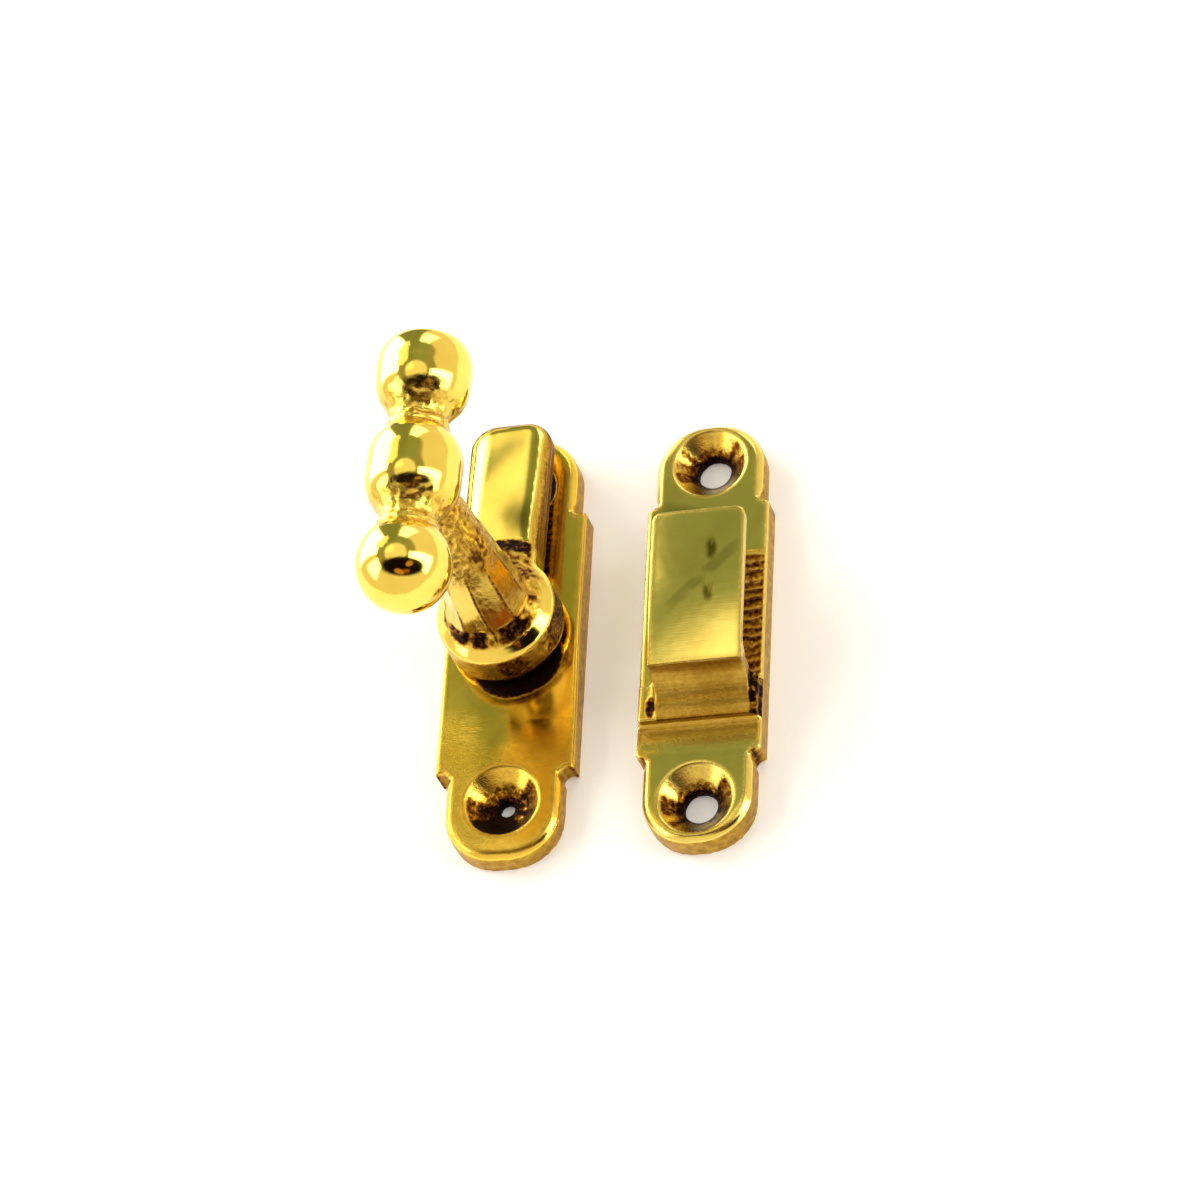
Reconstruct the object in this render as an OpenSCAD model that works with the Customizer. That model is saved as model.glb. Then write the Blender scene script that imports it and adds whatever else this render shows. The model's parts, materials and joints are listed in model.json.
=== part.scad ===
// Showcase catch in cast brass: a T-handled turn catch and its hooked keeper.
// Millimetres. The origin is midway between the catch's two screw holes, on
// the back of its plate. +Y runs along the plates, +Z comes out of them, and
// the keeper lies on the +X side.

/* [Catch plate] */
// Length of the catch plate over its round ends
catch_len = 64.8; // [62:0.1:70]
// Width of the catch plate's middle stretch
catch_w = 19; // [17:0.1:22]
// Length of the wide middle stretch between the shoulders
catch_mid_len = 39.6; // [34:0.1:41]
// Width of the catch plate's two end tabs
catch_tab_w = 15.8; // [14.4:0.1:17]
// Thickness of the catch plate
catch_t = 4.3; // [4:0.1:6]
// Distance between the catch plate's two screw holes
catch_hole_pitch = 48; // [44:0.1:50]

/* [Keeper plate] */
// Length of the keeper plate over its round ends
keeper_len = 64; // [62:0.1:70]
// Width of the keeper plate's middle stretch
keeper_w = 17; // [16.4:0.1:20]
// Length of the keeper's wide middle stretch
keeper_mid_len = 39; // [34:0.1:41]
// Width of the keeper plate's two end tabs
keeper_tab_w = 15; // [14.2:0.1:16]
// Thickness of the keeper plate
keeper_t = 4.3; // [4:0.1:4.6]
// Distance between the keeper's two screw holes
keeper_hole_pitch = 51.4; // [49:0.1:52]
// Distance from the catch's centre line to the keeper's
keeper_x = 26.8; // [25:0.1:28]
// How far the keeper sits towards its front end
keeper_y = -0.4; // [-1:0.1:1]

/* [Plate edges] */
// Radius of the corners of each rounded end
end_r = 6.8; // [4:0.1:7]
// Radius of the round bite at each shoulder
bite_r = 1.1; // [0.8:0.1:1.4]
// How far that bite cuts into the tab's side
bite_in = 0.3; // [0.1:0.1:0.8]
// Filed bevel along the sides of both plates
plate_bevel = 0.3; // [0.1:0.1:0.6]
// Filed bevel round the end tabs
tab_bevel = 0.8; // [0.3:0.1:1]

/* [Screw holes] */
// Diameter of the four screw holes
screw_hole_d = 4.6; // [4:0.1:5.4]
// Diameter of the countersinks at the surface
countersink_d = 10.4; // [8:0.1:10.8]
// Included angle of the countersinks
countersink_angle = 90; // [82:1:100]

/* [Hook] */
// Width of the hook's bent-over sheet
hook_w = 12.8; // [11:0.1:13]
// How far the hook sits off the keeper's centre line
hook_x = 0.9; // [0:0.1:1]
// Radius of the two free corners of the hook's sheet
hook_corner_r = 1.2; // [0.4:0.1:3]
// Radius of the fillets between the wall's sides and the plinth
hook_foot_r = 0.9; // [0.3:0.1:1]
// Front face of the hook's lip, from the keeper's centre
hook_front = 9.3; // [8.6:0.1:10]
// Free back edge of the hook, from the keeper's centre
hook_back = 13.7; // [12:0.1:15]
// Thickness of the hook's sheet
hook_t = 1.8; // [1.5:0.1:2.4]
// Height of the plinth that the hook's wall stands on, above the plate
plinth_h = 1.5; // [0.5:0.1:2]
// How far the plinth's sides stand in from the plate's
plinth_inset = 0.4; // [0.3:0.1:0.5]
// Radius of the cove between the plinth and the lip
cove_r = 5.1; // [4:0.1:5.4]
// Depth of metal behind the lip, at the sheet
wall_top = 2.4; // [1.6:0.1:3]
// Inward lean of the wall's inner face over its height
wall_lean = 2.2; // [0:0.1:3]
// Radius inside the hook, where wall and sheet meet
hook_root_r = 1.2; // [0.5:0.1:1.6]
// Free height between the tongue's thickest point in the hook and the sheet
hook_clear = 0.2; // [0.15:0.05:1]

/* [Turn disc and tongue] */
// Pivot's offset from the catch plate's centre line
pivot_x = -0.5; // [-0.8:0.1:0.8]
// Pivot's offset along the catch plate
pivot_y = 1.6; // [0:0.1:3]
// Diameter of the turn disc
disc_d = 16.7; // [14:0.1:18]
// Thickness of the turn disc
disc_t = 6.7; // [5.4:0.1:8]
// Bevel round the disc's top edge
disc_bevel = 1.5; // [0.4:0.1:1.6]
// Diameter of the boss that carries the disc on the plate
boss_d = 12.4; // [10:0.1:13]
// Height of that boss
boss_h = 1; // [0.6:0.1:1.6]
// Reach of the tongue from the pivot
tongue_reach = 30.5; // [27:0.1:31]
// Width of the tongue beside the disc
tongue_root_w = 10.4; // [8:0.1:11]
// Width of the tongue near its tip
tongue_tip_w = 11.6; // [9:0.1:12]
// How far the tongue's root stands in from the disc's two faces
tongue_root_inset = 0.1; // [0.05:0.05:0.5]
// Thickness of the tongue at its tip
tongue_tip_t = 3.8; // [3:0.1:4.4]
// Height of the tip's underside above the disc's
tongue_tip_lift = 0.2; // [0:0.1:0.8]
// Radius of the tongue's tip corners
tongue_tip_r = 3.8; // [3:0.1:4.4]
// Radius of the tongue's corners inside the disc
tongue_root_r = 1.9; // [1.4:0.1:3]
// Bevel along the tongue's edges
tongue_bevel = 0.9; // [0.4:0.1:1.2]

/* [Stem] */
// Diameter of the flange at the stem's foot
flange_d = 12.8; // [11.6:0.1:14]
// Height of the flange above the disc
flange_h = 0.9; // [0.6:0.1:2]
// Diameter of the stem just above its flange
stem_foot_d = 11.2; // [9:0.1:11.4]
// Diameter of the stem under the T-bar
stem_head_d = 5.8; // [5:0.1:8]

/* [T-bar] */
// Height of the T-bar's axis above the plates' backs
bar_z = 46.4; // [38:0.1:50]
// Distance from the middle ball's centre to each end ball's
ball_pitch = 13.6; // [13:0.1:16]
// Diameter of the T-bar's balls
ball_d = 12.5; // [11:0.1:13.5]
// Extra length of the middle ball along the bar
middle_stretch = 2.4; // [0:0.1:3]
// Extra length of the far ball before its flat end
end_stretch = 1; // [0:0.1:2]
// Depth of the flat filed on the far ball's end
end_flat = 2.2; // [0:0.1:3]
// Turn of the T-bar out of line with the tongue, in degrees
bar_turn = -1.5; // [-3:0.5:3]
// Diameter of the necks between the balls
neck_d = 7.6; // [6:0.1:8]
// Diameter of the bead round each neck
collar_d = 8.4; // [8.2:0.1:9.4]
// Width of that bead
collar_w = 1.2; // [1:0.1:2]
// How far each bead lies from its neck's middle, towards the near end
collar_shift = 0.8; // [0:0.1:1.2]

/* [Riveted spindle] */
// Diameter of the spindle that passes through the plate
spindle_d = 5; // [4:0.1:6]
// Running clearance round the spindle
spindle_clear = 0.05; // [0.02:0.01:0.1]
// Clearance between the boss and the plate
face_clear = 0.05; // [0.02:0.01:0.1]
// Diameter of the recess in the plate's back
recess_d = 13; // [11.8:0.1:14]
// Depth of that recess
recess_depth = 2.5; // [2.4:0.1:2.6]
// Outer diameter of the curved spring washer
spring_d = 11; // [10:0.1:11.4]
// Thickness of the spring washer
spring_t = 0.35; // [0.25:0.05:0.4]
// Clearance between the spring washer and the spindle
spring_clear = 0.3; // [0.1:0.05:0.5]
// Height of the curve in the spring washer
spring_rise = 0.4; // [0.2:0.05:0.45]
// Outer diameter of the flat washer under the rivet head
washer_d = 10.6; // [9:0.1:11.2]
// Thickness of the flat washer
washer_t = 0.6; // [0.4:0.05:0.7]
// Diameter of the peened rivet head
rivet_d = 7.4; // [6.4:0.1:8]
// Height of the peened rivet head
rivet_h = 0.7; // [0.5:0.05:0.8]

/* [Hidden] */
$fn = 96;
// Small overlap between joined solids
eps = 0.01;
// How far a cut runs past the faces it opens
past = 1;
// Height of the turn disc's underside and top
disc_z0 = catch_t + face_clear + boss_h;
disc_z1 = disc_z0 + disc_t;
// Underside and top of the tongue, at its root in the disc and at its tip
tongue_root_z0 = disc_z0 + tongue_root_inset;
tongue_root_z1 = disc_z1 - tongue_root_inset;
tongue_tip_z0 = disc_z0 + tongue_tip_lift;
tongue_tip_z1 = tongue_tip_z0 + tongue_tip_t;
tongue_root_y = disc_d / 4;
// The tongue's top falls evenly between these distances from the pivot
fall_y0 = tongue_root_y + tongue_root_r - tongue_bevel;
fall_y1 = tongue_reach - tongue_bevel;
// The hook's near edge meets the tongue at this distance from the pivot
hook_near = keeper_x + hook_x - hook_w / 2 - pivot_x;
tongue_top_in_hook = tongue_root_z1
    - (tongue_root_z1 - tongue_tip_z1) * (hook_near - fall_y0) / (fall_y1 - fall_y0);
hook_under_z = tongue_top_in_hook + hook_clear;
hook_top_z = hook_under_z + hook_t;
plinth_z = keeper_t + plinth_h;
// The cove's foot is the front edge of the plinth
foot_y = -hook_front - cove_r;
wall_in_top_y = -hook_front + wall_top;
wall_in_foot_y = wall_in_top_y - wall_lean;
flange_z = disc_z1 + flange_h;
// Spring and washers hang on the underside of the recess's roof
spring_z = recess_depth - face_clear;
washer_z1 = spring_z - spring_t - spring_rise - face_clear;
washer_z0 = washer_z1 - washer_t;
brass = [0.79, 0.62, 0.22];

// Round disc of height h whose top edge is bevelled
module bevelled_disc(r, h, bevel) {
    rotate_extrude()
        polygon([[0, 0], [r, 0], [r, h - bevel], [r - bevel, h], [0, h]]);
}

// Bar along Y from y0 to y1 with its two long top edges bevelled
module bevelled_bar(w, y0, y1, h, bevel) {
    translate([0, y1, 0])
        rotate([90, 0, 0])
            linear_extrude(y1 - y0)
                polygon([
                    [-w / 2, 0], [w / 2, 0], [w / 2, h - bevel],
                    [w / 2 - bevel, h], [bevel - w / 2, h], [-w / 2, h - bevel]
                ]);
}

// End tab with two rounded corners, out to y = tip
module end_tab(w, tip, h) {
    corner_x = w / 2 - end_r;
    corner_y = tip - end_r;
    bevelled_bar(w, 0, corner_y, h, tab_bevel);
    for (side = [-1, 1])
        translate([side * corner_x, corner_y, 0])
            bevelled_disc(end_r, h, tab_bevel);
    translate([0, corner_y, 0])
        rotate([0, 0, 90])
            bevelled_bar(2 * end_r, -corner_x, corner_x, h, tab_bevel);
}

// Plate with a wide middle, round-ended tabs and a bite at each shoulder
module shouldered_plate(len, w, mid_len, tab_w, h) {
    difference() {
        union() {
            bevelled_bar(w, -mid_len / 2, mid_len / 2, h, plate_bevel);
            for (turn = [0, 180])
                rotate([0, 0, turn])
                    end_tab(tab_w, len / 2, h);
        }
        for (sx = [-1, 1], sy = [-1, 1])
            translate([sx * (tab_w / 2 - bite_in + bite_r), sy * (mid_len + bite_r) / 2, -past])
                cylinder(r = bite_r, h = h + 2 * past);
    }
}

// Countersunk screw hole through a plate of thickness h
module screw_hole(h) {
    sink_h = (countersink_d - screw_hole_d) / 2 / tan(countersink_angle / 2);
    translate([0, 0, -past])
        cylinder(d = screw_hole_d, h = h + 2 * past);
    translate([0, 0, h - sink_h])
        cylinder(d1 = screw_hole_d, d2 = countersink_d, h = sink_h);
    translate([0, 0, h - eps / 10])
        cylinder(d = countersink_d, h = past);
}

module screw_holes(pitch, h) {
    for (sy = [-1, 1])
        translate([0, sy * pitch / 2, 0])
            screw_hole(h);
}

// Cast plate of the catch, recessed at the back for the riveted spindle
module catch_backplate() {
    color(brass)
        difference() {
            shouldered_plate(catch_len, catch_w, catch_mid_len, catch_tab_w, catch_t);
            screw_holes(catch_hole_pitch, catch_t);
            translate([pivot_x, pivot_y, -past]) {
                cylinder(d = spindle_d + 2 * spindle_clear, h = catch_t + 2 * past);
                cylinder(d = recess_d, h = recess_depth + past);
            }
        }
}

// Tongue that turns into the hook, level with the disc's top at its root and
// thinner towards its tip
module tongue() {
    module corner(x, y, r, z0, z1) {
        translate([x, y, z0 + tongue_bevel])
            cylinder(r = r, h = z1 - z0 - 2 * tongue_bevel, $fn = 32);
        translate([x, y, z0])
            cylinder(r = r - tongue_bevel, h = z1 - z0, $fn = 32);
    }
    hull()
        for (side = [-1, 1]) {
            corner(side * (tongue_root_w / 2 - tongue_root_r), tongue_root_y,
                tongue_root_r, tongue_root_z0, tongue_root_z1);
            corner(side * (tongue_tip_w / 2 - tongue_tip_r), tongue_reach - tongue_tip_r,
                tongue_tip_r, tongue_tip_z0, tongue_tip_z1);
        }
}

// Half outline of the T-bar, turned about its axis: x is radius, y runs along it
module bar_profile() {
    ball_r = ball_d / 2;
    neck_r = neck_d / 2;
    // Half the distance between the centres of the two arcs beside a neck
    half_gap = (ball_pitch - middle_stretch / 2) / 2;
    neck_y = ball_pitch - half_gap;
    // Hollow of the neck, tangent to the arcs on both sides of it
    hollow_r = (neck_r * neck_r + half_gap * half_gap - ball_r * ball_r)
        / (2 * (ball_r - neck_r));
    hollow_x = neck_r + hollow_r;
    reach = ball_r / (ball_r + hollow_r);
    far_y = ball_pitch + end_stretch;
    intersection() {
        translate([0, -2 * ball_pitch])
            square([ball_d, 2 * ball_pitch + far_y + ball_r - end_flat]);
        union() {
            for (y = [-ball_pitch, -middle_stretch / 2, middle_stretch / 2, ball_pitch, far_y])
                translate([0, y])
                    circle(r = ball_r);
            translate([0, -middle_stretch / 2])
                square([ball_r, middle_stretch]);
            translate([0, ball_pitch])
                square([ball_r, end_stretch]);
            for (sy = [-1, 1])
                translate([0, sy * neck_y]) {
                    difference() {
                        translate([0, -half_gap * (1 - reach)])
                            square([hollow_x * reach, 2 * half_gap * (1 - reach)]);
                        translate([hollow_x, 0])
                            circle(r = hollow_r);
                    }
                    translate([(collar_d - collar_w) / 2, -collar_shift])
                        circle(d = collar_w);
                }
        }
    }
}

// Disc, tongue, stem, T-bar and spindle, cast in one piece
module turn_handle() {
    color(brass)
        translate([pivot_x, pivot_y, 0]) {
            translate([0, 0, disc_z0])
                bevelled_disc(disc_d / 2, disc_t, disc_bevel);
            translate([0, 0, disc_z0 - boss_h])
                cylinder(d = boss_d, h = boss_h + eps);
            tongue();
            translate([0, 0, disc_z1 - eps])
                bevelled_disc(flange_d / 2, flange_h + eps, flange_h / 2);
            translate([0, 0, flange_z - eps])
                cylinder(d1 = stem_foot_d, d2 = stem_head_d, h = bar_z - flange_z);
            translate([0, 0, bar_z])
                rotate([-90, 0, bar_turn])
                    rotate_extrude()
                        bar_profile();
            translate([0, 0, washer_z0 - eps])
                cylinder(d = spindle_d, h = disc_z0 - washer_z0);
            rivet_head();
        }
}

// Spindle end spread over the flat washer
module rivet_head() {
    translate([0, 0, washer_z0])
        mirror([0, 0, 1])
            bevelled_disc(rivet_d / 2, rivet_h, rivet_h / 2);
}

// Washer cut from a bowed strip, so that it springs the handle down
module spring_washer() {
    half = spring_d / 2;
    // Radius of an arc that rises by spring_rise over half the washer
    bow_r = (half * half + spring_rise * spring_rise) / (2 * spring_rise);
    color([0.66, 0.66, 0.68])
        translate([pivot_x, pivot_y, 0])
            intersection() {
                difference() {
                    cylinder(d = spring_d, h = recess_depth);
                    translate([0, 0, -past])
                        cylinder(d = spindle_d + 2 * spring_clear, h = recess_depth + 2 * past);
                }
                translate([0, 0, spring_z - bow_r])
                    rotate([90, 0, 0])
                        difference() {
                            cylinder(r = bow_r, h = 2 * spring_d, center = true);
                            cylinder(r = bow_r - spring_t, h = 3 * spring_d, center = true);
                        }
            }
}

// Flat washer held by the rivet head
module rivet_washer() {
    color(brass)
        translate([pivot_x, pivot_y, washer_z0])
            difference() {
                cylinder(d = washer_d, h = washer_t);
                translate([0, 0, -past])
                    cylinder(d = spindle_d + 2 * spindle_clear, h = washer_t + 2 * past);
            }
}

// Side view of the hook: x runs along the keeper, y is height
module hook_side_view() {
    foot_z = keeper_t - past;
    difference() {
        polygon([
            [foot_y, foot_z], [foot_y, hook_top_z], [hook_back, hook_top_z],
            [hook_back, hook_under_z], [wall_in_top_y, hook_under_z],
            [wall_in_foot_y, keeper_t], [wall_in_foot_y, foot_z]
        ]);
        translate([foot_y, plinth_z + cove_r])
            circle(r = cove_r);
        translate([foot_y - past, plinth_z + cove_r])
            square([cove_r + past, hook_top_z]);
    }
    // Round root between the wall and the sheet
    difference() {
        translate([wall_in_top_y - hook_root_r, hook_under_z - hook_root_r])
            square([2 * hook_root_r, hook_root_r + eps]);
        translate([wall_in_top_y + hook_root_r, hook_under_z - hook_root_r])
            circle(r = hook_root_r);
    }
}

// Front view of the hook, with a fillet at each side of its foot: y is height
module hook_front_view() {
    foot_w = hook_w + 2 * hook_foot_r;
    foot_z = keeper_t - past;
    difference() {
        translate([-foot_w / 2, foot_z])
            square([foot_w, hook_top_z - foot_z]);
        for (side = [-1, 1])
            translate([side * foot_w / 2, plinth_z + hook_foot_r]) {
                circle(r = hook_foot_r);
                translate([-hook_foot_r, 0])
                    square([2 * hook_foot_r, hook_top_z]);
            }
    }
}

// What rounding takes off a square corner at the origin
module corner_waste(r, h) {
    translate([-r, -r, 0])
        difference() {
            cube([r + past, r + past, h]);
            cylinder(r = r, h = h);
        }
}

// Hook: its two views crossed, with the sheet's free corners rounded
module hook() {
    difference() {
        intersection() {
            rotate([90, 0, 90])
                linear_extrude(keeper_w, center = true)
                    hook_side_view();
            translate([0, hook_back + past, 0])
                rotate([90, 0, 0])
                    linear_extrude(hook_back - foot_y + 2 * past)
                        hook_front_view();
        }
        for (side = [0, 1])
            mirror([side, 0, 0])
                translate([hook_w / 2, hook_back, hook_under_z - past])
                    corner_waste(hook_corner_r, hook_t + 2 * past);
    }
}

// Keeper: plate, plinth and bent-over hook, cast in one piece
module keeper() {
    plinth_w = keeper_w - 2 * plinth_inset;
    color(brass)
        translate([keeper_x, keeper_y, 0]) {
            difference() {
                union() {
                    shouldered_plate(keeper_len, keeper_w, keeper_mid_len, keeper_tab_w, keeper_t);
                    bevelled_bar(plinth_w, foot_y, wall_in_foot_y, plinth_z, plate_bevel);
                }
                screw_holes(keeper_hole_pitch, keeper_t);
            }
            translate([hook_x, 0, 0])
                hook();
        }
}

catch_backplate();
turn_handle();
spring_washer();
rivet_washer();
keeper();
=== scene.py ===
import json
import math

import bmesh
import bpy
import numpy as np
from mathutils import Matrix, Vector, noise


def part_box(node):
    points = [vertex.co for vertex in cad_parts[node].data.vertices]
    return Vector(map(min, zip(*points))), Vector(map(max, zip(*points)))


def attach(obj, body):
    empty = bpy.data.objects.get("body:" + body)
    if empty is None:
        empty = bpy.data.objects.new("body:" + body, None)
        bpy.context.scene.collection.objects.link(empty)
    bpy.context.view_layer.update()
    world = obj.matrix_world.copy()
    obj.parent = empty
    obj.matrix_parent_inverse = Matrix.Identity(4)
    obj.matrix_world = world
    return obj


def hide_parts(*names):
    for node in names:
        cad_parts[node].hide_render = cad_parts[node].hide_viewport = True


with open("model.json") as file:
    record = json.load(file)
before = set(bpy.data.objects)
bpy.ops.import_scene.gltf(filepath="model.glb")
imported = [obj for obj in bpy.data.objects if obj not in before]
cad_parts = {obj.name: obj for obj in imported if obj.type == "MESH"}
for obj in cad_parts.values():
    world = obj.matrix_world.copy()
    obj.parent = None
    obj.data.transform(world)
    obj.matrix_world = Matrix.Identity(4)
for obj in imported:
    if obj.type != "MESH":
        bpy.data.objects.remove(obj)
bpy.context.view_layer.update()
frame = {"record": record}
MM = 0.001

# Camera
# A long lens looks down on the pair from the front right, with the camera
# rolled so that the plates stand upright in the picture.
view_target = Vector((10.92, 7.81, 0.0)) * MM
view_azimuth = math.radians(27.5)
view_elevation = math.radians(56.1)
view_roll = math.radians(-28.9)
view_distance = 613.7 * MM
focal_px = 4500.0
photo_px = 1200.0
sensor_mm = 36.0

towards_camera = Vector((
    math.sin(view_azimuth) * math.cos(view_elevation),
    -math.cos(view_azimuth) * math.cos(view_elevation),
    math.sin(view_elevation),
))
level_right = Vector((math.cos(view_azimuth), math.sin(view_azimuth), 0.0))
level_up = towards_camera.cross(level_right)
right = math.cos(view_roll) * level_right + math.sin(view_roll) * level_up
up = -math.sin(view_roll) * level_right + math.cos(view_roll) * level_up

lens = bpy.data.cameras.new("camera")
lens.sensor_width = sensor_mm
lens.lens = focal_px * sensor_mm / photo_px
camera = bpy.data.objects.new("camera", lens)
bpy.context.scene.collection.objects.link(camera)
turn = Matrix((right, up, towards_camera)).transposed().to_4x4()
camera.matrix_world = Matrix.Translation(view_target + view_distance * towards_camera) @ turn
bpy.context.scene.camera = camera
bpy.context.scene.view_settings.view_transform = "Standard"


# Studio
# White sheet under and round the pair, lit by soft boxes behind it and at its
# sides. The roof is grey, and the camera looks in through a dark opening.
def linear(code):
    """Linear colour of an sRGB hex code."""
    parts = [int(code[k:k + 2], 16) / 255 for k in (1, 3, 5)]
    return tuple(c / 12.92 if c <= 0.04045 else ((c + 0.055) / 1.055) ** 2.4 for c in parts) + (1,)


def add(tree, kind, inputs=None, stops=(), **settings):
    """New node with its settings; an input is a value, or a socket to link, and stops make a ramp."""
    made = tree.nodes.new(kind)
    for name, value in settings.items():
        setattr(made, name, value)
    for name, value in (inputs or {}).items():
        if isinstance(value, bpy.types.NodeSocket):
            tree.links.new(value, made.inputs[name])
        else:
            made.inputs[name].default_value = value
    if stops:
        marks = made.color_ramp.elements
        while len(marks) < len(stops):
            marks.new(0.5)
        for mark, (at, tone) in zip(marks, stops):
            mark.position = at
            mark.color = linear(tone)
    return made


world = bpy.data.worlds.new("studio")
bpy.context.scene.world = world
world.use_nodes = True
sky = world.node_tree
sky.nodes.clear()
direction = add(sky, "ShaderNodeTexCoord").outputs["Generated"]
axes = add(sky, "ShaderNodeSeparateXYZ", {0: direction}).outputs
azimuth = add(sky, "ShaderNodeMath", {0: axes[0], 1: axes[1]}, operation="ARCTAN2").outputs[0]
height = add(sky, "ShaderNodeMath", {0: axes[2]}, operation="ARCSINE").outputs[0]


def band(value, low, high, soft):
    """1 where an angle lies between low and high, in degrees, with soft edges."""
    sides = []
    for start, end in ((low - soft / 2, low + soft / 2), (high + soft / 2, high - soft / 2)):
        sides.append(add(sky, "ShaderNodeMapRange", {
            "Value": value, "From Min": math.radians(start), "From Max": math.radians(end),
        }, interpolation_type="SMOOTHSTEP").outputs[0])
    return add(sky, "ShaderNodeMath", {0: sides[0], 1: sides[1]}, operation="MULTIPLY").outputs[0]


def over(under, colour, strength, mask):
    """Light of one colour and strength, over what is there, as far as the mask goes."""
    tone = tuple(c * strength for c in linear(colour)[:3]) + (1,)
    return add(sky, "ShaderNodeMix", {
        0: mask, "A": under, "B": tone}, data_type="RGBA").outputs["Result"]


def card(under, colour, strength, az, el, soft):
    """Soft-edged panel between two azimuths and two heights."""
    mask = add(sky, "ShaderNodeMath", {
        0: band(azimuth, az[0], az[1], soft), 1: band(height, el[0], el[1], soft),
    }, operation="MULTIPLY").outputs[0]
    return over(under, colour, strength, mask)


def oval(under, colour, strength, az, el, half_w, half_h):
    """Soft-edged oval round a direction, rolled as the camera is."""
    soft = 0.15
    az, el = math.radians(az), math.radians(el)
    out = Vector((math.sin(az) * math.cos(el), math.cos(az) * math.cos(el), math.sin(el)))
    level = out.cross(Vector((0.0, 0.0, 1.0))).normalized()
    rise = level.cross(out)
    side = math.cos(-view_roll) * level + math.sin(-view_roll) * rise
    lift = math.cos(-view_roll) * rise - math.sin(-view_roll) * level
    across, along, ahead = (
        add(sky, "ShaderNodeVectorMath", {0: direction, 1: axis}, operation="DOT_PRODUCT").outputs["Value"]
        for axis in (side / math.sin(math.radians(half_w)), lift / math.sin(math.radians(half_h)), out))
    flat = add(sky, "ShaderNodeCombineXYZ", {0: across, 1: along}).outputs[0]
    far = add(sky, "ShaderNodeVectorMath", {0: flat}, operation="LENGTH").outputs["Value"]
    inside = add(sky, "ShaderNodeMapRange", {
        "Value": far, "From Min": 1 + soft, "From Max": 1 - soft,
    }, interpolation_type="SMOOTHSTEP").outputs[0]
    front = add(sky, "ShaderNodeMath", {0: ahead, 1: 0.0}, operation="GREATER_THAN").outputs[0]
    mask = add(sky, "ShaderNodeMath", {0: inside, 1: front}, operation="MULTIPLY").outputs[0]
    return over(under, colour, strength, mask)


all_round = (-190, 190)
light = linear("#fff3dc")
# Colour, strength, azimuths, heights and softness of each panel, in degrees
for panel in (
        # Roof and the skylight in it
        ("#cfcaa0", 0.62, all_round, (44, 66), 8),
        ("#fff8e0", 1.1, all_round, (66, 120), 6),
        # Soft boxes behind the pair, with the grey roof and a grey gap between them
        ("#ffffff", 7.0, (-80, -33), (-30, 45), 6),
        ("#ffffff", 3.2, (2, 26), (14, 47), 8),
        ("#aab78e", 0.78, (-62, 34), (47, 64), 6),
        ("#aab78e", 0.66, (-33, -1), (-24, 60), 6),
        # Glow over the left one, and up in the roof
        ("#fff6d8", 1.5, (-60, -33), (44, 55), 4),
        ("#fff6d8", 1.5, (-60, -25), (38, 50), 4),
        ("#fff8e0", 1.6, (-75, -18), (65, 80), 9),
        # Soft boxes at the right and at the left
        ("#ffffff", 6.0, (80, 116), (4, 58), 8),
        ("#ffffff", 4.5, (-124, -94), (12, 46), 8)):
    light = card(light, *panel)
# Dark opening for the camera, and warm lamps in the room behind it: colour,
# strength, azimuth, height and half sizes, in degrees
for shade in (
        ("#2c1c10", 0.25, 152.5, 55, 54, 23),
        ("#e0a050", 0.8, 172, 46, 12, 6),
        ("#e0a050", 0.8, 126, 50, 9, 6),
        ("#c8782e", 0.6, 150, 41, 8, 5)):
    light = oval(light, *shade)
add(sky, "ShaderNodeOutputWorld", {
    "Surface": add(sky, "ShaderNodeBackground", {"Color": light, "Strength": 1.0}).outputs[0],
})

floor_half = 0.26
# Just clear of the plates' backs
floor_z = -0.02 * MM
floor_mesh = bpy.data.meshes.new("floor")
floor_mesh.from_pydata([
    (x * floor_half, y * floor_half, floor_z) for x, y in ((-1, -1), (1, -1), (1, 1), (-1, 1))
], [], [(0, 1, 2, 3)])
floor = bpy.data.objects.new("floor", floor_mesh)
bpy.context.scene.collection.objects.link(floor)
paper = bpy.data.materials.new("white_paper")
paper.use_nodes = True
paper_shader = paper.node_tree.nodes["Principled BSDF"]
paper_shader.inputs["Base Color"].default_value = linear("#f6f2f0")
paper_shader.inputs["Roughness"].default_value = 0.9
paper_shader.inputs["Emission Color"].default_value = linear("#ffffff")
paper_shader.inputs["Emission Strength"].default_value = 0.16
floor_mesh.materials.append(paper)


# Catch plate
# Sand-cast brass plate, filed flat on top and polished, with its edges left
# rougher. Two wood screws through the countersunk tabs hold it to the door.
def cad_copy(node, name):
    """Copy of a CAD node's mesh in millimetres, its seams closed, as a new object."""
    seam_mm = 1e-4
    mesh = bpy.data.objects[node].data.copy()
    mesh.name = name
    mesh.materials.clear()
    work = bmesh.new()
    work.from_mesh(mesh)
    bmesh.ops.scale(work, vec=(1 / MM, 1 / MM, 1 / MM), verts=work.verts)
    bmesh.ops.remove_doubles(work, verts=work.verts, dist=seam_mm)
    work.to_mesh(mesh)
    work.free()
    made = bpy.data.objects.new(name, mesh)
    bpy.context.scene.collection.objects.link(made)
    return made


def worked_skin(piece, passes, grain_mm=0.22):
    """Even mesh of one grain size over a piece, with its arrises eased by smoothing."""
    skin = piece.modifiers.new("skin", "REMESH")
    skin.mode = "VOXEL"
    skin.voxel_size = grain_mm
    ease = piece.modifiers.new("ease", "SMOOTH")
    ease.factor = 0.5
    ease.iterations = passes
    seen = piece.evaluated_get(bpy.context.evaluated_depsgraph_get())
    mesh = bpy.data.meshes.new_from_object(seen)
    piece.modifiers.clear()
    piece.data = mesh
    mesh.name = piece.name


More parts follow.
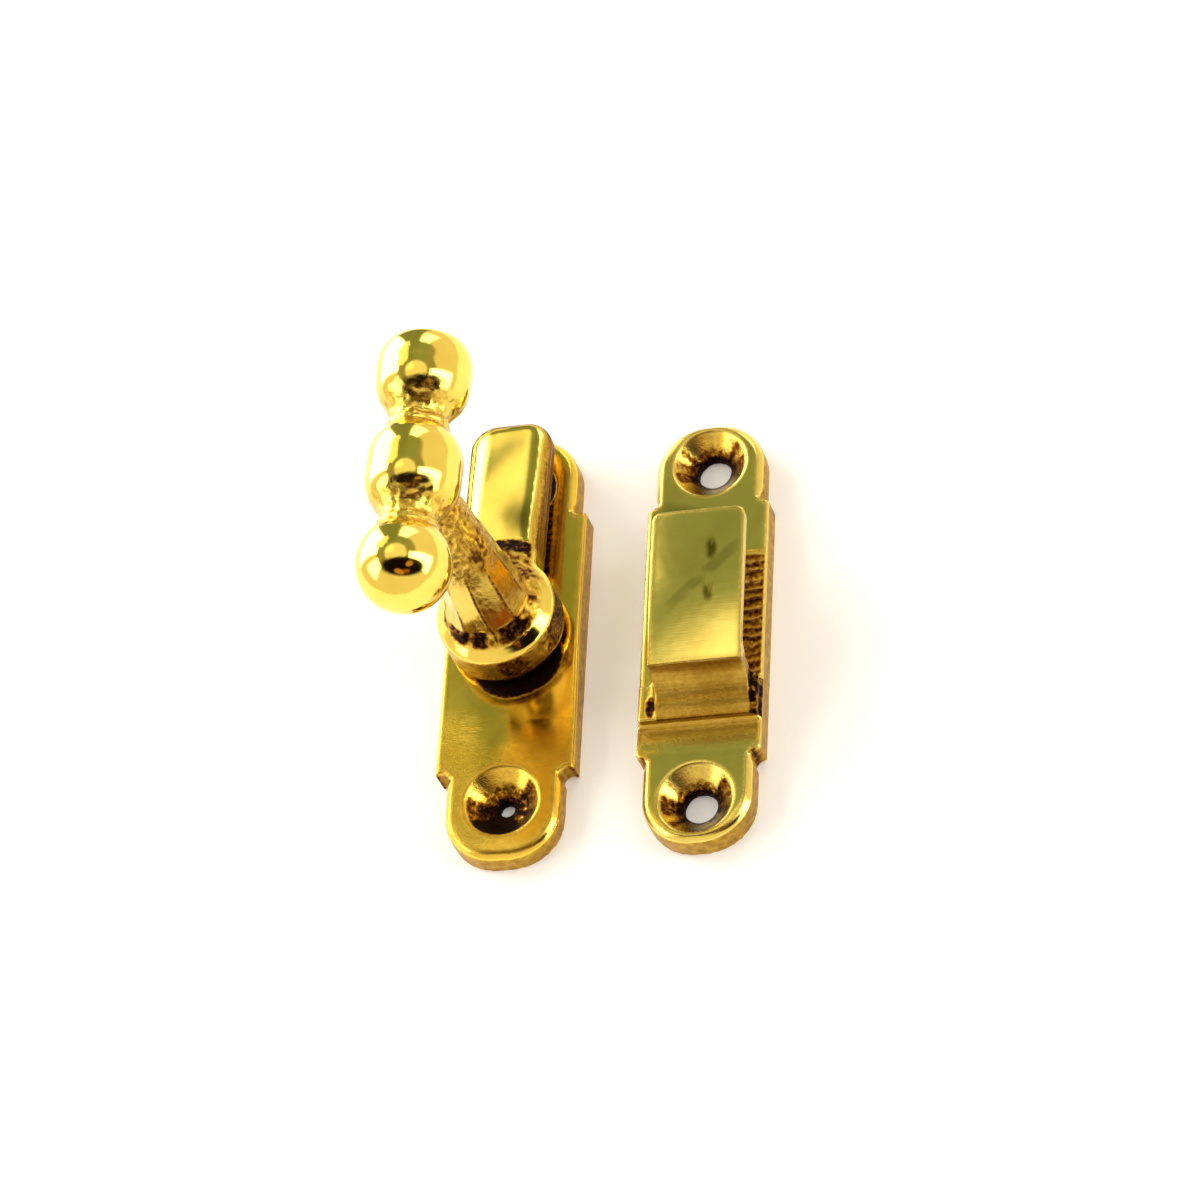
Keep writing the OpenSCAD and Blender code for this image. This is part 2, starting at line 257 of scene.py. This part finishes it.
class Skin:
    """Points, normals and edges of a worked piece, in millimetres."""

    def __init__(self, piece):
        self.mesh = piece.data
        count = len(self.mesh.vertices)
        flat = np.empty(count * 3)
        self.mesh.vertices.foreach_get("co", flat)
        self.co = flat.reshape(-1, 3).copy()
        self.mesh.vertex_normals.foreach_get("vector", flat)
        self.normal = flat.reshape(-1, 3).copy()
        pairs = np.empty(len(self.mesh.edges) * 2, dtype=np.int64)
        self.mesh.edges.foreach_get("vertices", pairs)
        self.pairs = pairs.reshape(-1, 2)

    def blurred(self, values, passes):
        """Values averaged with those of the neighbouring points."""
        a, b = self.pairs.T
        count = len(self.co)
        share = np.bincount(a, minlength=count) + np.bincount(b, minlength=count)
        for _ in range(passes):
            total = np.bincount(a, values[b], count) + np.bincount(b, values[a], count)
            values = 0.5 * values + 0.5 * total / share
        return values

    def smoothed(self, passes):
        """The points averaged with their neighbours."""
        return np.stack([self.blurred(self.co[:, k], passes) for k in range(3)], 1)

    def hollow(self, passes):
        """Depth of each point in the hollows round it, from 0 on what stands out."""
        return np.clip(((self.smoothed(passes) - self.co) * self.normal).sum(1), 0, None)

    def noise(self, size, seed, stretch=(1, 1, 1)):
        """Smooth noise from -1 to 1 with features of one size."""
        seed_shift = 17.3
        points = self.co / (np.array(stretch) * size) + seed * seed_shift
        return np.array([noise.noise(p) for p in points.tolist()])

    def ease(self, weights, passes):
        """Round off the places with weight, as hand polishing does."""
        self.co += (self.smoothed(passes) - self.co) * weights[:, None]

    def push(self, amount):
        """Move the points along their normals."""
        self.co += self.normal * amount[:, None]

    def write(self, **layers):
        """Put the points back, in metres, with named values for the material."""
        self.mesh.vertices.foreach_set("co", (self.co * MM).ravel())
        for name, values in layers.items():
            layer = self.mesh.attributes.new(name, "FLOAT", "POINT")
            layer.data.foreach_set("value", np.clip(values, 0, 2).astype(np.float32))
        self.mesh.update()
        self.mesh.shade_smooth()


def step(values, low, high):
    """0 below low, 1 above high and a smooth rise between."""
    t = np.clip((values - low) / (high - low), 0, 1)
    return t * t * (3 - 2 * t)


def bump(values, centre, half):
    """1 near a centre and 0 beyond half, with soft ends."""
    return step(half - np.abs(values - centre), 0, 0.6 * half)


# Yellow casting brass: greenish gold and mirror-like where it was buffed, and
# amber to dark brown where the cast skin and old polish stay in the hollows.
# Its dark tones are also used as painted shade in the screw holes and round the
# disc and tongue, and as painted dark reflections on the tongue and the keeper's sheet.
# The file's lines are drawn coarser than real ones, so that they show.
def brass(name, clean_tones, roughness, line_mm, line_dir, line_depth_mm):
    """Brass that reads layers of residue and painted shade, roughness, brushing, and smudges and painted
    shade, with lines along one axis.
    """
    made = bpy.data.materials.new(name)
    made.use_nodes = True
    tree = made.node_tree
    shader = tree.nodes["Principled BSDF"]
    shader.inputs["Metallic"].default_value = 1.0
    place = add(tree, "ShaderNodeTexCoord").outputs["Object"]
    residue, rough, brushed, smudge = (
        add(tree, "ShaderNodeAttribute", attribute_name=layer).outputs["Fac"]
        for layer in ("residue", "rough", "brushed", "smudge"))

    even = (1, 1, 1)
    drawn_out = tuple(0.03 if k == line_dir else 1.0 for k in range(3))
    # Grain of each pattern in millimetres, its detail and its stretch
    specks, lines, wide_lines, clouds, cast_grain, haze, pores = (
        add(tree, "ShaderNodeTexNoise", {
            "Vector": add(tree, "ShaderNodeMapping", {"Vector": place, "Scale": stretch}).outputs[0],
            "Scale": 1 / (grain_mm * MM), "Detail": detail, "Roughness": 0.6,
        }).outputs[0]
        for grain_mm, detail, stretch in (
            (0.6, 4.0, even), (line_mm, 2.0, drawn_out), (4 * line_mm, 2.0, drawn_out),
            (5.0, 3.0, even), (1.0, 3.0, even), (3.0, 3.0, even), (0.3, 3.0, even)))

    # Dirt and painted shade lie in specks, and along the wide lines where the metal is brushed
    sharp_specks, sharp_lines = (
        add(tree, "ShaderNodeValToRGB", {"Fac": pattern}, (
            (0.35, "#000000"), (0.65, "#ffffff"))).outputs["Color"]
        for pattern in (specks, wide_lines))
    patches = add(tree, "ShaderNodeMix", {
        0: brushed, "A": sharp_specks, "B": sharp_lines}, data_type="RGBA").outputs["Result"]
    uneven = add(tree, "ShaderNodeMath", {
        0: patches, 1: 0.7, 2: 0.5}, operation="MULTIPLY_ADD").outputs[0]
    dirt_and_shade = add(tree, "ShaderNodeMath", {
        0: residue, 1: uneven}, operation="MULTIPLY", use_clamp=True).outputs[0]
    dirt_and_shade_cover = add(tree, "ShaderNodeMath", {
        0: dirt_and_shade, 1: 2.0}, operation="MULTIPLY", use_clamp=True).outputs[0]

    # Colour: buffed metal, turned dark olive by smudges and painted shade, then cast skin, then dirt and
    # painted shade
    clean = add(tree, "ShaderNodeValToRGB", {"Fac": clouds}, (
        (0.3, clean_tones[0]), (0.7, clean_tones[1]))).outputs["Color"]
    cast = add(tree, "ShaderNodeValToRGB", {"Fac": cast_grain}, (
        (0.3, "#8c6418"), (0.7, "#caa036"))).outputs["Color"]
    tarnish_and_shade = add(tree, "ShaderNodeValToRGB", {"Fac": dirt_and_shade}, (
        (0.05, "#dcb43c"), (0.3, "#aa7c1c"), (0.6, "#6b3f0e"), (0.95, "#1c0d05"))).outputs["Color"]
    colour = clean
    for cover, tone in ((smudge, linear("#3e3d12")), (rough, cast), (dirt_and_shade_cover, tarnish_and_shade)):
        colour = add(tree, "ShaderNodeMix", {
            0: cover, "A": colour, "B": tone}, data_type="RGBA").outputs["Result"]
    tree.links.new(colour, shader.inputs["Base Color"])

    # Roughness: that of the buffed metal in the middle of the haze, and more
    haze_share = 0.05
    matt = roughness - haze_share / 2
    for layer, share in ((haze, haze_share), (rough, 0.34), (dirt_and_shade, 0.35)):
        matt = add(tree, "ShaderNodeMath", {
            0: layer, 1: share, 2: matt}, operation="MULTIPLY_ADD", use_clamp=True).outputs[0]
    tree.links.new(matt, shader.inputs["Roughness"])

    # Lines stand out 13 times as high where the metal is brushed
    line_height = add(tree, "ShaderNodeMath", {
        0: brushed, 1: 12.0, 2: 1.0}, operation="MULTIPLY_ADD").outputs[0]
    worn = add(tree, "ShaderNodeMath", {0: lines, 1: line_height}, operation="MULTIPLY").outputs[0]
    filed = add(tree, "ShaderNodeBump", {
        "Height": worn, "Distance": line_depth_mm * MM, "Strength": 1.0}).outputs[0]
    unbuffed = add(tree, "ShaderNodeMath", {
        0: rough, 1: residue}, operation="ADD", use_clamp=True).outputs[0]
    pits = add(tree, "ShaderNodeMath", {0: pores, 1: unbuffed}, operation="MULTIPLY").outputs[0]
    pit_depth_mm = 0.08
    pitted = add(tree, "ShaderNodeBump", {
        "Height": pits, "Distance": pit_depth_mm * MM, "Strength": 1.0, "Normal": filed}).outputs[0]
    tree.links.new(pitted, shader.inputs["Normal"])
    return made


plate = cad_copy("catch_backplate", "catch_plate")
worked_skin(plate, passes=3)
skin = Skin(plate)
plate_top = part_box("catch_backplate")[1][2] / MM
mounts = {mount["name"]: mount for mount in frame["record"]["mounts"]}
catch_screws = mounts["catch_screws"]
hole_r = catch_screws["dims"]["hole_r_mm"]
countersink_r = 5.2
pivot = np.array((-0.5, 1.6))
disc_r = 8.35


def plate_faces(skin):
    """How far each point lies on a plate's top, on its sides and above its back."""
    z = skin.co[:, 2]
    facing_up = step(skin.normal[:, 2], 0.8, 0.95)
    flank = step(1 - np.abs(skin.normal[:, 2]), 0.5, 0.8) * step(plate_top - z, 0.4, 0.9)
    above = step(z, 0.3, 1.2)
    return facing_up, flank, above


def from_screws(skin, mount):
    """The points' x and y from the front screw axis of a mount, and from the back one."""
    x, y = (skin.co[:, :2] - np.array(mount["pos_m"][:2]) / MM).T
    half = mount["dims"]["spacing_y_mm"] / 2
    return (x, y + half), (x, y - half)


def rim_of(skin, mount):
    """Distance of each point from the nearer screw axis of a mount."""
    return np.minimum(*(np.hypot(x, y) for x, y in from_screws(skin, mount)))


def tab_marks(skin, mount):
    """Masks of the two screw holes of a mount and their countersinks, the holes to be painted with shade,
    and dark sectors round the countersinks that are painted reflections, with a darker ring by each hole.
    """
    rim = rim_of(skin, mount)
    cone_shade_and_ring = np.zeros(len(skin.co))
    for side, (x, y) in zip((-1, 1), from_screws(skin, mount)):
        angle = np.arctan2(y, x)
        # Dark sectors by angle in each countersink: painted reflections of the polished cone; the ring by
        # the hole is a darker band
        wave = np.sin(angle * 2 + 1.2) + 0.5 * np.sin(angle * 7 + 2.1 * side) + 0.4 * np.sin(angle * 13)
        cone_shade_and_ring += step(wave, -0.1, 1.3) * (np.hypot(x, y) < countersink_r)
        cone_shade_and_ring += 0.7 * step(hole_r + 1.5 - np.hypot(x, y), 0, 0.9)
    # Painted shade: where this mask is used the holes' walls are darkened nearly black
    inside = step(hole_r + 0.5 - rim, 0, 0.5)
    cone = step(countersink_r - rim, 0, 0.6) * (1 - inside)
    return inside, cone, cone_shade_and_ring


def round_tab_ends(skin, mount, y, z, from_y):
    """Round off the edge of both end tabs, clear of the countersinks."""
    clear = step(rim_of(skin, mount) - countersink_r, 0.3, 1)
    skin.ease(step(np.abs(y), from_y, 29) * step(z, 1.5, 3) * clear, passes=14)


def in_bites(x, y, bite_x, bite_y):
    """1 in the round bites at a plate's four shoulders."""
    return step(0.8 - np.abs(np.abs(y) - bite_y), 0, 0.6) * step(np.abs(x), bite_x, bite_x + 1)


def arris_of(skin, facing_up, above):
    """1 along the edges of the faces that look up, fading to both sides."""
    share = skin.blurred(facing_up, passes=10)
    return 4 * share * (1 - share) * above


hollow = skin.hollow(passes=30)
x, y, z = skin.co.T.copy()
radius = np.hypot(x - pivot[0], y - pivot[1])
facing_up, flank, above = plate_faces(skin)
fine = skin.noise(1.2, seed=2)
skin.push(above * (0.05 * skin.noise(9, seed=1) + 0.03 * fine * (0.1 + flank)))
# The top was filed down towards its right front edge, and at the front tab's end
fall_from, fall_bend, fall_slope, fall_fade = -4.0, 5.0, 0.075, 12
tab_fall_from, tab_fall_reach, tab_fall = -27.5, 4, 0.25
ahead = np.clip(x - fall_from, 0, None)
fall = fall_slope * np.where(ahead < fall_bend, ahead ** 2 / (2 * fall_bend), ahead - fall_bend / 2)
fall *= np.clip(-y / fall_fade, 0, 1)
fall += tab_fall * (np.clip(tab_fall_from - y, 0, None) / tab_fall_reach) ** 2
skin.co[:, 2] -= above * fall
round_tab_ends(skin, catch_screws, y, z, from_y=25)
inside, cone, cone_shade_and_ring = tab_marks(skin, catch_screws)
# Old polish narrows the front hole and cakes one side of its countersink
front_hole = (0, -catch_screws["dims"]["spacing_y_mm"] / 2)
clog_share, clog_top = 0.55, 2.6
clogged = step(hole_r + 0.6 - rim_of(skin, catch_screws), 0, 0.3) * step(clog_top - z, 0, 1.2) * (y < 0)
skin.co[:, :2] += (front_hole - skin.co[:, :2]) * clog_share * clogged[:, None]
caked = cone * bump(np.degrees(np.arctan2(-x, front_hole[1] - y)), 12, 60) * (y < 0)
# Painted shade on the plate: a dark crescent round the front of the disc, for the disc's dark reflected
# side and the gap under it, and a dark strip beside the tongue, for the gap under it
turned = np.arctan2(x - pivot[0], pivot[1] - y)
front = step(1.6 - np.abs(turned - math.radians(20)), 0, 1.4)
disc_shade = facing_up * step(disc_r + 3.0 * front - radius, 0, 2.4) * front
tongue_shade = facing_up * step(y, 8.6, 10.6) * step(24 - y, 0, 3) * (x > -6)
shoulder = in_bites(x, y, bite_x=7.6, bite_y=19.9)
arris = arris_of(skin, facing_up, above)
satin_tab = step(-y, 13, 18) * facing_up * (1 - cone)
file_marks = facing_up * step(-x, 1, 6) * step(-8 - y, 0, 6)
skin.write(
    # 2 * inside: painted shade, darkening the screw holes nearly black
    residue=(step(hollow, 0.12, 0.5) + 2 * inside + 2 * caked + 0.16 * file_marks
             # The countersink at y > 0 is darkened: painted shadow of the tongue
             + cone * (0.2 + 0.6 * cone_shade_and_ring + 1.8 * (y > 0))
             # Painted shade: dark crescent in front of the disc
             + 2.2 * step(disc_shade, 0.25, 0.85)
             # Painted shade: dark strip beside the tongue, for the gap under it
             + 1.1 * tongue_shade * step(5.2 - x, 0, 0.6) * step(x, 0, 4.5) + 1.2 * shoulder),
    rough=0.95 * flank + 0.15 * cone + 0.5 * arris + 0.25 * satin_tab,
    brushed=0.7 * file_marks,
    # Dark olive: painted shade round the disc and beside the tongue, and a toned satin front tab
    smudge=np.clip(1.6 * disc_shade + 0.5 * tongue_shade * step(6.6 - x, 0, 1.2) + 0.35 * satin_tab, 0, 1))
plate.data.materials.append(brass(
    "filed_brass_plate", ("#f0c648", "#fbd45a"),
    roughness=0.1, line_mm=0.14, line_dir=0, line_depth_mm=0.003))
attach(plate, "plates")
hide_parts("catch_backplate")


# Turn handle
# Disc, tongue, tapered stem and T-bar of three balls, cast as one piece and
# buffed by hand. Its spindle passes through the plate and is riveted behind.
def spot(x, y, at, half_w, half_h):
    """Round shade that fades from 1 at its middle."""
    return np.exp(-0.5 * ((x - at[0]) / half_w) ** 2 - 0.5 * ((y - at[1]) / half_h) ** 2)


disc_foot, disc_top, flange_top, bar_axis = 5.35, 12.05, 12.95, 46.4
flange_r, stem_r, stem_sides, groove_r = 6.4, 5.6, 9, 10.4
ball_gap, ball_r, middle_half_stretch, neck_reach = 13.6, 6.25, 1.2, 2.9
bar_skew = math.radians(-1.5)
handle = cad_copy("turn_handle", "turn_handle_skin")
worked_skin(handle, passes=6)
skin = Skin(handle)
hollow = skin.hollow(passes=40)
x, y = (skin.co[:, :2] - pivot).T
z = skin.co[:, 2].copy()
radius = np.hypot(x, y)
facing = np.degrees(np.arctan2(x, -y))
along = y * math.cos(bar_skew) - x * math.sin(bar_skew)

# Regions of the casting
visible = step(z, disc_foot - 0.35, disc_foot + 0.65)
on_bar = z > 30
stem = step(z, flange_top - 1.0, flange_top + 0.3) * step(bar_axis - z, 4.0, 7.0)
low_stem = stem * step(flange_top + 15 - z, 0, 5)
foot = stem * step(flange_top + 5 - z, 0, 6) * bump(facing, -80, 70)
neck_at = (ball_gap + middle_half_stretch) / 2
neck = step(bar_axis - z, -7.5, -6.5) * step(z, bar_axis - 8, bar_axis - 5)
neck *= 1 - step(np.abs(np.abs(along) - neck_at), neck_reach * 0.6, neck_reach * 1.4)
shoulders = 4 * (along - ball_gap) ** 2 * (ball_r ** 2 - (along - ball_gap) ** 2) / ball_r ** 4
shoulders = np.clip(shoulders, 0, 1) * (along > ball_gap) * on_bar
bar_end = step(along - ball_gap, 4.8, 6.4) * on_bar
bead = step(z, disc_top - 0.5, disc_top - 0.1) * step(flange_top + 1.2 - z, 0, 0.8)
bead *= step(radius, stem_r - 1.2, stem_r - 0.4) * step(flange_r + 1 - radius, 0.2, 0.9)
side = step(disc_top - z, 1.3, 2.0) * step(z, disc_foot + 0.35, disc_foot + 0.85)
side *= step(disc_r + 0.65 - radius, 0.1, 0.5)
past_flange = step(radius, 6.2, 7.0)
rim = step(z, disc_top - 2.6, disc_top - 1.8) * past_flange
rim *= (z < disc_top + 0.3) * (radius < disc_r + 0.65) * step(5.5 - y, 0, 2)
disc_face = step(z, disc_top - 1.2, disc_top - 0.6) * (z < flange_top + 1)
groove = bump(radius, groove_r - 0.8, 1.3) * (y > 4) * disc_face
pad = past_flange * (radius < groove_r) * step(y, 1.5, 4) * disc_face
tongue_top = step(y, 8, 11) * ~on_bar * step(skin.normal[:, 2], 0.5, 0.9)
tongue_side = step(y, 7.5, 9.5) * (z < disc_top) * step(0.85 - np.abs(skin.normal[:, 2]), 0, 0.25)

# Unevenness of the casting in millimetres, with the stem's blunt facets and
# the buffed tongue's fall to the left
foot_flare, shoulder_fill, end_cut, groove_depth = 1.0, 0.35, 0.35, 0.12
tongue_fall_from, tongue_fall_slope, tongue_swell = 4.0, 0.07, 0.08
fine = skin.noise(0.8, seed=4)
wide = skin.noise(2.4, seed=5)
streaky = skin.noise(2.2, seed=7, stretch=(1, 1, 6))
lumps = skin.noise(0.6, seed=13, stretch=(1, 1, 1.6))
turned = np.arctan2(y, x)
across_side = (turned * stem_sides / (2 * math.pi) + 0.25 * skin.noise(9, seed=6)) % 1 - 0.5
flats = np.cos(math.pi / stem_sides) / np.cos(across_side * 2 * math.pi / stem_sides) - 1
ridge = step(np.abs(across_side), 0.4, 0.48) * step(skin.noise(3, seed=12), -0.6, -0.2)
skin.ease(rim, passes=10)
skin.push(visible * (
    0.07 * skin.noise(7, seed=3)
    + low_stem * radius * flats
    + stem * (0.08 * streaky + 0.15 * lumps) * (1 - 0.9 * low_stem)
    + neck * (0.16 * wide + 0.12 * fine)
    + bead * (0.2 * wide + 0.16 * fine)
    + 0.04 * side * fine
    + foot_flare * foot
    + shoulder_fill * shoulders
    - end_cut * bar_end
    - groove_depth * groove
    + 0.06 * pad * fine
))
swell = spot(x, y, at=(1.9, 12.6), half_w=1.6, half_h=2.2)
skin.co[:, 2] += tongue_top * (
    tongue_fall_slope * np.minimum(x - tongue_fall_from, 0) + tongue_swell * swell)

# Old polish and cast skin left in the low places
pitted = step(-lumps, -0.3, 0.25)
streaks = step(skin.noise(1.1, seed=7, stretch=(1, 1, 6)), 0.0, 0.4)
long_streaks = step(skin.noise(1.0, seed=15, stretch=(1, 1, 12)), 0.0, 0.5)
blots = step(skin.noise(1.0, seed=8), -0.15, 0.4)
front_blots = bump(facing, -40, 20) + bump(facing, -10, 13) + bump(facing, 38, 28)
side_dark = bump(facing, 17, 20) + bump(facing, 90, 45)
skin.write(
    residue=(step(hollow, 0.1, 0.4) * (0.7 - 0.6 * step(z, 34, 38))
             + stem * (1 - low_stem) * (0.45 * pitted + 0.3 * streaks)
             + low_stem * (0.7 * ridge + 0.15 * long_streaks)
             + 0.35 * neck * blots
             + bead * (0.25 + 0.3 * blots + 0.7 * front_blots)
             + 0.8 * groove
             + pad * (0.3 + 0.45 * blots)
             + side * (0.1 + 0.35 * blots + 0.6 * side_dark)
             + 0.6 * tongue_side),
    brushed=0.6 * tongue_side,
    rough=(stem * (0.5 - 0.35 * low_stem) + 0.35 * neck + 0.45 * (bead + pad) + 0.5 * side
           + 0.5 * tongue_side),
    # Painted reflection: a dark olive spot on the tongue's top
    smudge=0.75 * tongue_top * spot(x, y, at=(2.6, 13.8), half_w=1.5, half_h=2.2))
handle.data.materials.append(brass(
    "buffed_cast_brass", ("#f0d05c", "#f8da66"),
    roughness=0.09, line_mm=0.15, line_dir=1, line_depth_mm=0.001))
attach(handle, "handle")
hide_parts("turn_handle")


# Spindle washers
# Stamped washers in the recess behind the plate: a bowed spring steel one that
# holds the handle where it is put, and a flat brass one under the rivet head.
steel = bpy.data.materials.new("spring_steel")
steel.use_nodes = True
steel_tree = steel.node_tree
steel_shader = steel_tree.nodes["Principled BSDF"]
steel_shader.inputs["Metallic"].default_value = 1.0
steel_shader.inputs["Roughness"].default_value = 0.35
steel_grain_mm = 0.8
rolled = add(steel_tree, "ShaderNodeTexNoise", {
    "Vector": add(steel_tree, "ShaderNodeTexCoord").outputs["Object"],
    "Scale": 1 / (steel_grain_mm * MM), "Detail": 3.0})
steel_tone = add(steel_tree, "ShaderNodeMix", {
    0: rolled.outputs[0], "A": linear("#8d8f94"), "B": linear("#b4b6ba")}, data_type="RGBA")
steel_tree.links.new(steel_tone.outputs["Result"], steel_shader.inputs["Base Color"])
stamped = brass(
    "stamped_brass_washer", ("#e6c458", "#eccb60"),
    roughness=0.2, line_mm=0.1, line_dir=0, line_depth_mm=0.003)
for node, finish in (("spring_washer", steel), ("rivet_washer", stamped)):
    washer = bpy.data.objects[node]
    washer.data.materials.clear()
    washer.data.materials.append(finish)


# Keeper
# Second casting: a plate like the catch's, with a plinth, a coved wall and a
# hook bent over towards the back. Its slot floor keeps the marks of the cutter.
keeper = cad_copy("keeper", "keeper_skin")
worked_skin(keeper, passes=3)
skin = Skin(keeper)
keeper_screws = mounts["keeper_screws"]
keeper_at = np.array(keeper_screws["pos_m"][:2]) / MM
sheet_top, sheet_x, sheet_half_w = 12.2, 0.9, 6.4
plinth_top, lip_y, foot_y = 5.8, -9.3, -14.4
sheet_end_x = sheet_x + sheet_half_w
hollow = skin.hollow(passes=30)
x, y = (skin.co[:, :2] - keeper_at).T.copy()
z = skin.co[:, 2].copy()

# Regions of the casting
facing_up, flank, above = plate_faces(skin)
on_sheet = step(z, sheet_top - 0.9, sheet_top - 0.3)
cove = step(0.2 - skin.normal[:, 2], -0.5, 0) * step(z, plinth_top + 0.1, plinth_top + 0.5)
cove *= y < lip_y + 0.5
plinth_front = (np.abs(z - plinth_top) < 0.6) * (y < -10.5) * (y > foot_y)
plinth_front = plinth_front * (np.abs(x - sheet_x) < sheet_half_w)
wall_face = step(z, plinth_top + 0.1, plinth_top + 0.3) * (1 - step(z, 9.9, 10.3))
wall_face *= (y < -8) * (y > foot_y - 0.4)
cove = np.maximum(np.maximum(cove, plinth_front), wall_face)
slot_floor = facing_up * (np.abs(z - plate_top) < 0.6) * (x > sheet_end_x - 3) * (y > -8) * (y < 11)
ledge_end = (y > foot_y) * (y < -8.6) * (x > sheet_end_x) * (z > plate_top - 0.6) * (z < 9)
ledge_face = (np.abs(y - foot_y) < 0.5) * step(z, 4.4, 4.6) * (z < 5.7) * (skin.normal[:, 1] < -0.5)
ledge_foot = facing_up * step(y, foot_y - 4.6, foot_y - 1.4) * (y < foot_y) * (z < 4.6)
wall_foot_x, wall_foot_y = -6.3, -12.5
wall_foot = step(1 - np.hypot((x - wall_foot_x) / 0.8, (y - wall_foot_y) / 2.0), 0, 0.5)
wall_foot *= (z < 8.0) * (z > 5.0)
dip = facing_up * step(y, foot_y - 7, foot_y - 2) * (y < foot_y - 0.3) * step(y, foot_y - 5.5, foot_y)

# Hand work: the sheet falls to the front and to its sides, the slot's floor
# keeps the cutter's ridges, and the plate dips before the ledge
sheet_fall, sheet_fall_from, sheet_crown = 0.75, 4.5, 0.004
dip_depth, ridge_height, cutter_step = 0.6, 0.1, 1.4
skin.push(above * (0.04 * skin.noise(9, seed=5) + 0.03 * skin.noise(1.2, seed=6) * (0.1 + flank)))
front_fall = np.clip((sheet_fall_from - y) / (sheet_fall_from - lip_y), 0, 1.2)
skin.co[:, 2] -= on_sheet * (sheet_fall * front_fall ** 2 + sheet_crown * (x - sheet_x) ** 2)
ridges = np.sin(2 * math.pi * (y + 0.6 * skin.noise(2.5, seed=9)) / cutter_step)
ridges += 0.6 * skin.noise(0.7, seed=16, stretch=(6, 1, 1))
skin.co[:, 2] += slot_floor * (ridge_height * ridges + 0.05 * skin.noise(0.9, seed=10))
round_tab_ends(skin, keeper_screws, y, z, from_y=26)
skin.co[:, 2] -= dip_depth * dip

# Old polish and smudges; painted reflections and painted shade on the hook's sheet, painted shade in the
# screw holes; the slot's floor under the hook, the cove and the ledge are darkened
inside, cone, cone_shade_and_ring = tab_marks(skin, keeper_screws)
shoulder = in_bites(x, y, bite_x=6.8, bite_y=19.6)
# Painted reflections: two dark olive marks on the hook's sheet, standing in for dents that mirror
# something dark
marks = np.zeros(len(x))
for mark_x, mark_y in ((2.9, 7.3), (2.8, 0.9)):
    marks = np.maximum(marks, step(1.2 - np.hypot((x - mark_x) / 0.9, (y - mark_y) / 1.8), 0, 0.8))
# Painted shade: a dark diagonal band across the hook's sheet, broken up by noise
diagonal_shade = bump(y - 0.93 * x, 1.6, 1.5) * bump(x, 1.6, 6.5) * step(skin.noise(2, seed=14), -0.5, 0.4)
cove_shade = bump(x, 3.0, 3.6) * bump(y, -11.6, 3.4) * cove
tab_smear = bump(y + 0.25 * x, 17.0, 2.0) * bump(x, -3.5, 4.5) * facing_up * (z < 5)
blots = step(skin.noise(1.0, seed=11), -0.1, 0.4)
fine = skin.noise(0.5, seed=17, stretch=(1, 4, 1))
arris = arris_of(skin, facing_up, above)
skin.write(
    # 1.3 * inside: painted shade, darkening the screw holes
    residue=(step(hollow, 0.12, 0.5) + 1.3 * inside + cone * (0.2 + 0.6 * cone_shade_and_ring)
             # The slot's floor under the hook is darkened, unevenly with the cutter's ridges
             + slot_floor * step(11.5 - y, 0, 2) * (0.65 + 0.25 * ridges)
             + ledge_end * (0.6 + 0.9 * blots)
             + 1.2 * shoulder + 0.33 * cove + 0.1 * on_sheet * marks
             + 0.25 * ledge_face + 0.22 * ledge_foot + 1.3 * wall_foot),
    rough=(0.95 * flank + 0.15 * cone + 0.5 * arris + 0.4 * slot_floor + 0.35 * cove
           + 0.7 * ledge_end + 0.4 * ledge_foot),
    brushed=0.5 * cove,
    # Dark olive: painted reflections in the marks, painted shade in the diagonal band, and a darker cove
    smudge=(on_sheet * (0.95 * marks * step(fine, -0.5, 0.1) + 0.35 * diagonal_shade)
            + 0.2 * cove + 0.4 * cove_shade + 0.35 * tab_smear))
keeper.data.materials.append(brass(
    "filed_brass_keeper", ("#ecd06a", "#f5dc76"),
    roughness=0.11, line_mm=0.14, line_dir=0, line_depth_mm=0.003))
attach(keeper, "plates")
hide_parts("keeper")
